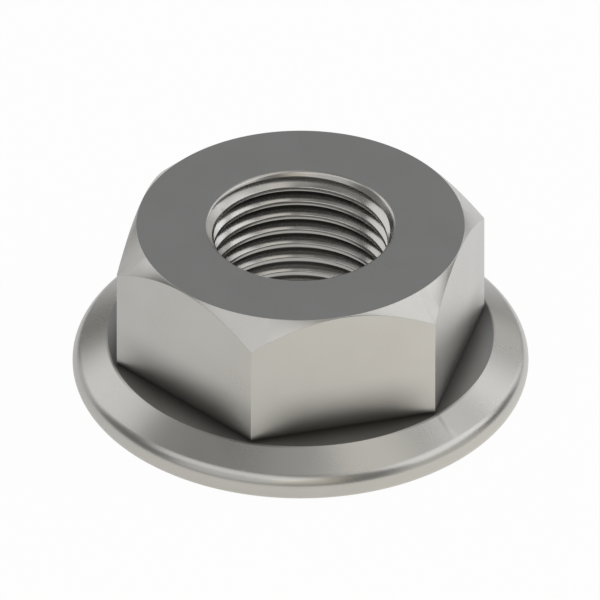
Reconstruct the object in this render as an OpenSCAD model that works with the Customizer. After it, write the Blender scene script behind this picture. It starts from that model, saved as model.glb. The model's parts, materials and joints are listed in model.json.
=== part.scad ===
// Hexagon nut with a flange, in one piece, in millimetres.
// The origin is the centre of the bearing face, +Z points to the top face,
// and two corners of the hexagon lie on the X axis.

/* [Hexagon] */
// Distance across the flats
across_flats = 24; // [21:0.5:30]
// Whole height, from the bearing face to the top face
nut_h = 13.2; // [9:0.1:20]
// How far the round edge of the top face lies inside the flats
chamfer_inset = 0.05; // [0.05:0.05:0.6]
// Fall of the corner chamfer from the top face, in degrees
chamfer_angle = 45; // [15:1:60]

/* [Flange] */
// Width of the flat ledge outside the hexagon's corners
land_ledge = 0.19; // [0.1:0.01:1]
// How far the flange stands out beyond the hexagon's corners
flange_reach = 2.74; // [2.5:0.02:6]
// Fall of the flange from the ledge to the rim, in degrees
flange_slope = 30; // [15:1:45]
// Radius of the rounded rim
rim_round = 1.24; // [0.5:0.02:1.5]

/* [Thread] */
// Outer diameter of the thread
thread_d = 14; // [8:1:18]
// Pitch of the thread
thread_pitch = 1.25; // [0.75:0.25:2]
// How much wider than the thread the countersinks are at the faces
mouth_over = 0.04; // [0.04:0.02:1]
// Angle between the walls of a countersink, in degrees
mouth_angle = 60; // [60:5:120]
// Radius of the edge between a countersink and its face
mouth_round = 0.12; // [0.05:0.01:0.3]

/* [Hidden] */
$fn = 144;

// A hexagon's corner lies half a sixth of a turn from the middle of a flat
sides = 6;
corner_r = across_flats / 2 / cos(180 / sides);
chamfer_r = across_flats / 2 - chamfer_inset;

// The ledge, and the slope that runs from it into the round of the rim
land_r = corner_r + land_ledge;
rim_x = corner_r + flange_reach - rim_round;
slope_end = [rim_x + rim_round * sin(flange_slope), rim_round + rim_round * cos(flange_slope)];
function slope_z(r) = slope_end.y + (slope_end.x - r) * tan(flange_slope);
land_z = slope_z(land_r);

// The blank is turned a little wider than the corners that are cut from it
blank_r = (corner_r + land_r) / 2;
chamfer_drop = (blank_r - chamfer_r) * tan(chamfer_angle);

// A 60 degree thread leaves five eighths of its full triangle's height
triangle_h = thread_pitch * cos(30);
minor_r = thread_d / 2 - 5 / 8 * triangle_h;

// Each countersink runs from the bore to a round that ends at the face
mouth_r = (thread_d + mouth_over) / 2;
mouth_lean = mouth_angle / 2;
mouth_edge_r = mouth_r - mouth_round * cos(mouth_lean);
mouth_edge_z = mouth_round * (1 - sin(mouth_lean));
mouth_depth = mouth_edge_z + (mouth_edge_r - minor_r) / tan(mouth_lean);

// Half section of the turned blank: radius along X, height along Y
module section() {
    polygon([
        [rim_x, 0],
        [rim_x, rim_round],
        slope_end,
        [blank_r, slope_z(blank_r)],
        [blank_r, nut_h - chamfer_drop],
        [chamfer_r, nut_h],
        [mouth_r, nut_h],
        [mouth_r, nut_h - mouth_round],
        [mouth_edge_r, nut_h - mouth_edge_z],
        [minor_r, nut_h - mouth_depth],
        [minor_r, mouth_depth],
        [mouth_edge_r, mouth_edge_z],
        [mouth_r, mouth_round],
        [mouth_r, 0]
    ]);
    translate([rim_x, rim_round])
        circle(rim_round);
    for (z = [mouth_round, nut_h - mouth_round])
        translate([mouth_r, z])
            circle(mouth_round);
}

// What is cut away round the hexagon, down to the ledge
module outside_flats() {
    translate([0, 0, land_z])
        linear_extrude(nut_h)
            difference() {
                circle(rim_x);
                circle(corner_r, $fn = sides);
            }
}

module flange_nut() {
    color("silver")
        difference() {
            rotate_extrude()
                section();
            outside_flats();
        }
}

flange_nut();
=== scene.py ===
import json
from math import atan2, ceil, cos, pi, radians, sin, sqrt, tan

import bpy
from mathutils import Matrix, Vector


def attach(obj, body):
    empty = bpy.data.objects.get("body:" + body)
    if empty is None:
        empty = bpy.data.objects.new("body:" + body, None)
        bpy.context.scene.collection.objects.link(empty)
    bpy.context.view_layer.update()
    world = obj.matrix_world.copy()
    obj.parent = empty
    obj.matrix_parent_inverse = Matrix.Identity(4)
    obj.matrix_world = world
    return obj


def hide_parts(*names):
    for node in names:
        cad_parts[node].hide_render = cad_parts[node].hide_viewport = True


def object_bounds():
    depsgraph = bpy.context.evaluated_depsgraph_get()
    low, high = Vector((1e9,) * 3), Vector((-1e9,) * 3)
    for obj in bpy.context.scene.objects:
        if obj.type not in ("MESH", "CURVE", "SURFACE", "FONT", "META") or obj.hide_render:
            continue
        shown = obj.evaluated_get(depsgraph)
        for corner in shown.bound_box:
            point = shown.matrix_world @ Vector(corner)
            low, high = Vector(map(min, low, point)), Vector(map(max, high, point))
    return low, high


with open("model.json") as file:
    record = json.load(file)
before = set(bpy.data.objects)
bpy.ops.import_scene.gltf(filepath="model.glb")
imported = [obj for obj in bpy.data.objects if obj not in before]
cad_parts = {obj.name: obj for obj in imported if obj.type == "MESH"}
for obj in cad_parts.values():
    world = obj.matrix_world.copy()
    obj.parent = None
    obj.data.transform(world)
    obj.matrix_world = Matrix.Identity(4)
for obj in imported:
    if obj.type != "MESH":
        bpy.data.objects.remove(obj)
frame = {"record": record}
cad_low, cad_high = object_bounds()

# The nut
# A hexagon nut with a round flange, cold-formed in one piece of steel, then
# chamfered, countersunk and tapped right-handed. It is one closed skin of
# columns round the thread's axis, and its sizes are in millimetres.
MM = 0.001
thread_mount = next(m for m in frame["record"]["mounts"] if m["name"] == "thread")
nut_height = (cad_high.z - cad_low.z) / MM
flange_radius = cad_high.x / MM
minor_radius = thread_mount["dims"]["r_mm"]

sides = 6
across_flats = 24.0
corner_radius = across_flats / 2 / cos(pi / sides)
chamfer_inset = 0.05
chamfer_radius = across_flats / 2 - chamfer_inset
land_ledge = 0.19
land_radius = corner_radius + land_ledge
flange_slope = radians(30)
rim_round = 1.24
rim_centre = flange_radius - rim_round
slope_end = (rim_centre + rim_round * sin(flange_slope), rim_round * (1 + cos(flange_slope)))
land_height = slope_end[1] + (slope_end[0] - land_radius) * tan(flange_slope)

# Edges that the tools and the tumbling drum have just broken
corner_break = 0.07
edge_break = 0.055
land_break = 0.12

corner_arc_centre = corner_radius - corner_break / cos(pi / sides)
corner_span = atan2(
    corner_break * sin(pi / sides), corner_arc_centre + corner_break * cos(pi / sides)
)


def column_angles():
    """Angles of the outside's columns: even all round, with a few more over each broken corner."""
    per_side = 48
    steps = 3
    past_corner = [corner_span * k / steps for k in range(steps + 1)]
    along_flat = [2 * pi * k / sides / per_side for k in range(1, per_side)]
    to_corner = [2 * pi / sides - corner_span * k / steps for k in range(steps, 0, -1)]
    turn = past_corner + along_flat + to_corner
    return [2 * pi * side / sides + a for side in range(sides) for a in turn]


def flat_radius(angle):
    """Distance from the axis to the hexagon's side at that angle, with its corners broken."""
    off = (angle + pi / sides) % (2 * pi / sides) - pi / sides
    if abs(off) < corner_span:
        return corner_arc_centre * cos(off) + sqrt(corner_break**2 - (corner_arc_centre * sin(off)) ** 2)
    return across_flats / 2 / cos(pi / sides - abs(off))


def rounded(before, corner, after, radius, steps):
    """Points of the arc of that radius which rounds a corner of an outline."""
    corner = Vector(corner)
    back = (Vector(before) - corner).normalized()
    ahead = (Vector(after) - corner).normalized()
    half = back.angle(ahead) / 2
    centre = corner + (back + ahead).normalized() * radius / sin(half)
    start = corner + back * radius / tan(half) - centre
    end = corner + ahead * radius / tan(half) - centre
    turn = pi - 2 * half
    return [
        tuple(centre + (start * sin(turn * (1 - k / steps)) + end * sin(turn * k / steps)) / sin(turn))
        for k in range(steps + 1)
    ]


def outside(angle):
    """Outline of one column as (radius, height), from the edge of the bearing face to the top face."""
    wall = flat_radius(angle)
    chamfer_foot = (wall, nut_height - (wall - chamfer_radius))
    chamfer_top = (chamfer_radius, nut_height)
    foot = (wall, land_height)
    land_edge = (land_radius, land_height)
    rim_steps = 20
    rim = [-pi / 2 + (pi - flange_slope) * k / rim_steps for k in range(rim_steps + 1)]
    return (
        [(rim_centre + rim_round * cos(a), rim_round * (1 + sin(a))) for a in rim]
        + rounded(slope_end, land_edge, foot, land_break, 3)
        + [foot]
        + rounded(foot, chamfer_foot, chamfer_top, edge_break, 4)
        + rounded(chamfer_foot, chamfer_top, (0, nut_height), edge_break, 4)
    )


# The thread: between its worn edges a ridge's crest is a quarter of the pitch
# wide, its flanks lean 60 degrees to the axis, and the groove's floor is an
# eighth of the pitch
pitch = 1.25
major_radius = 7.0
flank_lean = radians(60)
crest_half = pitch / 8
floor_half = pitch / 16
first_crest = 0.25
crest_break = 0.085
crest_flat = crest_half - crest_break * tan(flank_lean / 2)
crest_edge = [crest_flat + crest_break * sin(radians(a)) for a in (0, 20, 40, 60)]

mouth_radius = 7.02
mouth_round = 0.30
mouth_lean = radians(30)
mouth_edge_radius = mouth_radius - mouth_round * cos(mouth_lean)
mouth_edge_depth = mouth_round * (1 - sin(mouth_lean))
mouth_depth = mouth_edge_depth + (mouth_edge_radius - minor_radius) / tan(mouth_lean)


def thread_wall(angle, height):
    """Distance from the axis to the tapped wall of an endless thread."""
    rise = height - first_crest - pitch * angle / (2 * pi)
    off = abs((rise + pitch / 2) % pitch - pitch / 2)
    if off < crest_edge[-1]:
        past_flat = max(off - crest_flat, 0.0)
        return minor_radius + crest_break - sqrt(crest_break**2 - past_flat**2)
    return min(minor_radius + (off - crest_half) * tan(flank_lean), major_radius)


def mouth_wall(height):
    """Distance from the axis to the nearer countersink's wall."""
    depth = min(height, nut_height - height)
    if depth < mouth_edge_depth:
        return mouth_radius - sqrt(mouth_round**2 - (mouth_round - depth) ** 2)
    return mouth_edge_radius - (depth - mouth_edge_depth) * tan(mouth_lean)


# Heights where a column needs a point. On the round edges of the countersinks
# they are the same all round, and on each ridge they climb with the thread
mouth_points = [mouth_round * (1 - cos(radians(a))) for a in (0, 12, 24, 36, 48, 60)]
floor_edge = pitch / 2 - floor_half
points_per_ridge = 1 + 2 * (len(crest_edge) + 2)
too_close = 0.006


def meeting_offset(crest, side):
    """How far from the middle of a crest its flank meets the nearer countersink, kept within the flank."""
    upper = crest > nut_height / 2
    depth = nut_height - crest if upper else crest
    reach = mouth_edge_radius - minor_radius - (depth - mouth_edge_depth) * tan(mouth_lean)
    faces_out = (side > 0) == upper
    slant = tan(flank_lean) + (-tan(mouth_lean) if faces_out else tan(mouth_lean))
    offset = (reach + crest_half * tan(flank_lean)) / slant
    return min(max(offset, crest_edge[-1]), floor_edge)


def column_heights(angle):
    """Heights of the points of one column of the bore, from the bearing face up."""
    heights = [h for depth in mouth_points for h in (depth, nut_height - depth)]
    for turn in range(-2, ceil(nut_height / pitch) + 2):
        crest = first_crest + pitch * (turn + angle / (2 * pi))
        mouth_end = nut_height - mouth_depth if crest > nut_height / 2 else mouth_depth
        heights.append(min(max(mouth_end, crest - crest_flat), crest + crest_flat))
        for side in (-1, 1):
            for offset in (*crest_edge, meeting_offset(crest, side), floor_edge):
                heights.append(crest + side * offset)
    low, high = too_close, nut_height - too_close
    return sorted(0.0 if h < low else nut_height if h > high else h for h in heights)


corners = []
faces = []


def corner_at(angle, radius, height):
    """Adds a corner of the skin and gives its number."""
    corners.append((radius * cos(angle) * MM, radius * sin(angle) * MM, height * MM))
    return len(corners) - 1


def add_face(*numbers):
    """Adds a face, without the corners that fall together."""
    different = list(dict.fromkeys(numbers))
    if len(different) > 2:
        faces.append(different)


outer = [[corner_at(a, r, h) for r, h in outside(a)] for a in column_angles()]
columns = len(outer)
# The bore has as many columns, and they are even all round
inner = []
for j in range(columns):
    angle = 2 * pi * j / columns
    column = []
    last = -1.0
    for height in column_heights(angle):
        if height - last > too_close:
            number = corner_at(angle, max(thread_wall(angle, height), mouth_wall(height)), height)
            last = height
        column.append(number)
    inner.append(column)

for j in range(columns):
    here, there = outer[j], outer[(j + 1) % columns]
    bore, bore_there = inner[j], inner[(j + 1) % columns]
    # After a whole turn each ridge has become the next one up
    climb = points_per_ridge if j + 1 == columns else 0
    top = len(bore) - 1
    for k in range(len(here) - 1):
        add_face(here[k], there[k], there[k + 1], here[k + 1])
    add_face(here[-1], there[-1], bore_there[-1], bore[-1])
    for i in range(top):
        low_there, high_there = min(i + climb, top), min(i + 1 + climb, top)
        add_face(bore[i + 1], bore_there[high_there], bore_there[low_there], bore[i])
    add_face(bore[0], bore_there[0], there[0], here[0])

# The two level faces are shaded flat, and the rest smooth between sharp edges
skin = bpy.data.meshes.new("hex_flange_nut")
skin.from_pydata(corners, [], faces)
skin.validate()
skin.set_sharp_from_angle(angle=radians(29))
skin.polygons.foreach_set("use_smooth", [abs(face.normal.z) < 0.99999 for face in skin.polygons])
nut = bpy.data.objects.new("hex_flange_nut", skin)
bpy.context.scene.collection.objects.link(nut)
evened = nut.modifiers.new("even_shading", "WEIGHTED_NORMAL")
evened.keep_sharp = True


class Shade:
    """A socket in a shader's tree, so that its maths reads as plain sums."""

    def __init__(self, tree, socket=None):
        self.tree = tree
        self.socket = socket

    def node(self, kind, settings=None, sockets=None, out=0):
        """Adds a node: its settings first, then a value or a link for each socket. Gives one output."""
        made = self.tree.nodes.new(kind)
        for name, value in (settings or {}).items():
            setattr(made, name, value)
        for name, value in (sockets or {}).items():
            if isinstance(value, Shade):
                self.tree.links.new(value.socket, made.inputs[name])
            else:
                made.inputs[name].default_value = value
        return Shade(self.tree, made.outputs[out] if made.outputs else None)

    def sum(self, operation, other=0.0, first=None):
        """This value and another one, put together by that operation."""
        values = {0: self if first is None else first, 1: other}
        return self.node("ShaderNodeMath", {"operation": operation}, values)

    def __add__(self, other):
        return self.sum("ADD", other)

    __radd__ = __add__

    def __sub__(self, other):
        return self.sum("SUBTRACT", other)

    def __rsub__(self, other):
        return self.sum("SUBTRACT", self, first=other)

    def __mul__(self, other):
        return self.sum("MULTIPLY", other)

    __rmul__ = __mul__

    def over(self, low, high):
        """0 below low, 1 above high, and smooth between them."""
        return self.node(
            "ShaderNodeMapRange",
            {"interpolation_type": "SMOOTHSTEP"},
            {"Value": self, "From Min": low, "From Max": high},
        )

    def toward(self, turn, unit=1.0):
        """How far this place lies out to one side, that many degrees round from the X axis."""
        direction = (cos(radians(turn)) / unit, sin(radians(turn)) / unit, 0)
        return self.node(
            "ShaderNodeVectorMath", {"operation": "DOT_PRODUCT"}, {0: self, 1: direction}, out="Value"
        )

    def mix(self, low, high):
        """A colour that goes from the first to the second as this value goes from 0 to 1."""
        return self.node("ShaderNodeMix", {"data_type": "RGBA"}, {0: self, 6: low, 7: high}, out=2)


steel = bpy.data.materials.new("satin_steel")
steel.use_nodes = True
steel.node_tree.nodes.clear()
blank = Shade(steel.node_tree)
place = blank.node("ShaderNodeTexCoord", out="Object")
off_axis = blank.node(
    "ShaderNodeVectorMath", {"operation": "MULTIPLY"}, {0: place, 1: (1 / MM, 1 / MM, 0)}
)
radius = blank.node("ShaderNodeVectorMath", {"operation": "LENGTH"}, {0: off_axis}, out="Value")
height = blank.node("ShaderNodeSeparateXYZ", sockets={"Vector": place}, out="Z") * (1 / MM)
off_ledge = height - land_height
off_faces = height.sum("MINIMUM", nut_height - height)
across = [place.toward(turn, unit=MM).sum("ABSOLUTE") for turn in (30, 90, 150)]
off_hexagon = across[0].sum("MAXIMUM", across[1]).sum("MAXIMUM", across[2]) - across_flats / 2

# Painted shade: a dull dark colour is painted where shade falls, in the corner
# between the hexagon and its ledge, where it fades out over the ledge, up the
# flats and towards the six corners, and in the thread's grooves
painted_shade_on_ledge = 0.92
painted_shade_lost_on_flats = 0.16
painted_shade_lost_at_corners = 0.85
painted_shade_in_grooves = 0.7
foot = (1 - off_hexagon.over(-0.2, 2.2)) * (1 - off_ledge.over(-0.1, 4.2))
foot = foot * off_ledge.over(-0.12, -0.04) * radius.over(8, 9)
foot = foot * (1 - painted_shade_lost_at_corners * off_ledge.over(0.05, 0.6) * radius.over(12.3, 13.8))
groove = radius.over(6.70, 6.86) * (1 - radius.over(7.05, 7.2)) * off_faces.over(1.0, 1.4)
painted_shade = foot * (painted_shade_on_ledge - painted_shade_lost_on_flats * off_ledge.over(0.05, 0.3)) + groove * painted_shade_in_grooves

# The tap leaves its wall smoother than the drum leaves the rest. A fine grain
# and a slow change of tone run over all of it
tapped = (1 - radius.over(7.0, 7.1)) * off_faces.over(0.8, 1.1)
grain = blank.node("ShaderNodeTexNoise", sockets={"Vector": place, "Scale": 3000, "Detail": 1})
cloud = blank.node("ShaderNodeTexNoise", sockets={"Vector": place, "Scale": 260, "Detail": 1})
relief = blank.node(
    "ShaderNodeBump", sockets={"Height": grain, "Strength": 0.03, "Distance": 0.000012}
)
bare = cloud.over(0.3, 0.7).mix((0.570, 0.566, 0.556, 1), (0.590, 0.587, 0.578, 1))
# Near black colour of the painted shade in the corner and the grooves
painted_shade_colour = (0.10, 0.098, 0.094, 1)
satin = 0.28
# The painted shade darkens the steel's colour and makes it rougher
metal = blank.node(
    "ShaderNodeBsdfPrincipled",
    sockets={
        "Base Color": painted_shade.mix(bare, painted_shade_colour),
        "Metallic": 1.0,
        "Roughness": satin - tapped * 0.09 + (cloud - 0.5) * 0.03 + (grain - 0.5) * 0.02 + painted_shade * 0.10,
        "Normal": relief,
    },
)
blank.node("ShaderNodeOutputMaterial", sockets={"Surface": metal})
skin.materials.append(steel)

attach(nut, "root")
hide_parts("flange_nut")

# The floor
# A plain white table that the nut stands on, far wider than the view. Its own
# light makes it white to the camera, and the lamps add the nut's soft shadow.
table_half = 0.6
table_drop = 0.00001
table_sheet = bpy.data.meshes.new("floor")
table_sheet.from_pydata(
    [(x * table_half, y * table_half, -table_drop) for x, y in ((-1, -1), (1, -1), (1, 1), (-1, 1))],
    [],
    [(0, 1, 2, 3)],
)
table_top = bpy.data.objects.new("floor", table_sheet)
bpy.context.scene.collection.objects.link(table_top)


def ray_kinds(tree):
    """Whether a ray comes from the camera, off a glossy surface, or through a clear one."""
    kinds = ("Is Camera Ray", "Is Glossy Ray", "Is Transmission Ray")
    return [tree.node("ShaderNodeLightPath", out=kind) for kind in kinds]


# Painted light: in the steel's reflections the table is greyer, and its own
# glow is painted brighter to the right and in front, and warmer in front, as it
# seems in the drawing
paint = bpy.data.materials.new("white_floor")
paint.use_nodes = True
paint.node_tree.nodes.clear()
paper = Shade(paint.node_tree)
seen, mirrored, through = ray_kinds(paper)
spot = paper.node("ShaderNodeTexCoord", out="Object")
painted_glow_right = spot.toward(45).over(-0.005, 0.03)
painted_glow_front = spot.toward(-35).over(-0.015, 0.02)
painted_glow_tint = ((1 - seen) * painted_glow_front).mix((1, 1, 1, 1), (1, 0.965, 0.885, 1))
share_seen = 0.97
share_mirrored = 0.47 + painted_glow_right * 0.34 + painted_glow_front * 0.15
lit = paper.node("ShaderNodeBsdfDiffuse", sockets={"Color": (0.86, 0.86, 0.86, 1)})
glow = paper.node("ShaderNodeEmission", sockets={"Color": painted_glow_tint, "Strength": 1.0})
share = seen * share_seen + mirrored * share_mirrored + through * share_seen
shown = paper.node("ShaderNodeMixShader", sockets={0: share, 1: lit, 2: glow})
paper.node("ShaderNodeOutputMaterial", sockets={"Surface": shown})
table_sheet.materials.append(paint)

# The light
# Plain soft studio light: a dim grey room with large soft lamps round the nut.
# Its walls are white low down, and to the camera they are white all over.
world = bpy.data.worlds.new("studio")
bpy.context.scene.world = world
world.use_nodes = True
world.node_tree.nodes.clear()
room = Shade(world.node_tree)
seen, mirrored, through = ray_kinds(room)
sky = room.node("ShaderNodeTexCoord", out="Generated")
up = room.node("ShaderNodeSeparateXYZ", sockets={"Vector": sky}, out="Z")
low_wall = (1 - up.over(0.02, 0.14)) * 0.25
dim = room.node("ShaderNodeBackground", sockets={"Color": (1, 0.98, 0.92, 1), "Strength": 0.18})
bright = room.node("ShaderNodeBackground", sockets={"Color": (1, 1, 1, 1), "Strength": 1.0})
backdrop = room.node(
    "ShaderNodeMixShader", sockets={0: seen + (mirrored + through) * low_wall, 1: dim, 2: bright}
)
room.node("ShaderNodeOutputWorld", sockets={"Surface": backdrop})

view_turn = radians(45)
lamp_distance = 0.5


def seen_from_nut(turn, rise):
    """Direction turned from the camera's side to its right and risen above the floor, in degrees."""
    a, e = view_turn + radians(turn), radians(rise)
    return Vector((sin(a) * cos(e), -cos(a) * cos(e), sin(e)))


def soft_lamp(name, turn, rise, wide, tall, level, colour):
    """A soft lamp that shines at the nut, that many degrees wide and tall. Level 1 looks white."""
    lamp = bpy.data.lights.new(name, "AREA")
    lamp.shape = "RECTANGLE"
    lamp.size, lamp.size_y = (2 * lamp_distance * tan(radians(a) / 2) for a in (wide, tall))
    lamp.color = colour
    lamp.energy = level * lamp.size * lamp.size_y * pi
    stand = bpy.data.objects.new(name, lamp)
    stand.location = seen_from_nut(turn, rise) * lamp_distance
    stand.rotation_euler = (-seen_from_nut(turn, rise)).to_track_quat("-Z", "Y").to_euler()
    stand.visible_camera = False
    bpy.context.scene.collection.objects.link(stand)


neutral = (1, 1, 1)
plain = (1, 0.99, 0.97)
warm = (1, 0.96, 0.88)
amber = (1, 0.90, 0.72)
cool = (0.82, 0.92, 1)
soft_lamp("lamp_back_left", -130, 36, 34, 30, 0.85, plain)
soft_lamp("lamp_back_left_low", -124, 14, 28, 20, 0.46, plain)
soft_lamp("lamp_front_left", -40, 52, 64, 30, 0.75, plain)
soft_lamp("lamp_front_low", -36, 22, 50, 26, 0.50, plain)
soft_lamp("lamp_front", 4, 30, 28, 36, 0.48, amber)
soft_lamp("lamp_right_high", 96, 72, 60, 20, 0.65, warm)
soft_lamp("lamp_right", 82, 42, 48, 32, 0.98, plain)
soft_lamp("lamp_right_low", 70, 14, 50, 20, 0.45, warm)
soft_lamp("lamp_far_right", 118, 34, 26, 22, 0.40, plain)
soft_lamp("lamp_back_right", 132, 24, 16, 36, 0.80, neutral)
soft_lamp("lamp_back_right_low", 149, 17, 12, 16, 0.60, warm)
soft_lamp("lamp_back", 180, 40, 36, 36, 0.13, cool)
soft_lamp("lamp_above", 0, 90, 24, 24, 0.27, plain)

# The camera
# It looks along a cube's diagonal with no perspective, as the drawing does.
# The middle of its view lies just beside the thread's axis, above the ledge.
picture_width = 600
pixels_per_mm = 13.74
camera_rise = 35.264
camera_distance = 0.4
eye = bpy.data.cameras.new("camera")
eye.type = "ORTHO"
eye.ortho_scale = picture_width / pixels_per_mm * MM
camera = bpy.data.objects.new("camera", eye)
right = Vector((cos(view_turn), sin(view_turn), 0))
aim = Vector((0, 0, (land_height + 3.12) * MM)) - right * 0.0386 * MM
camera.location = aim + seen_from_nut(0, camera_rise) * camera_distance
camera.rotation_euler = (-seen_from_nut(0, camera_rise)).to_track_quat("-Z", "Y").to_euler()
bpy.context.scene.collection.objects.link(camera)
bpy.context.scene.camera = camera
bpy.context.scene.view_settings.view_transform = "Standard"
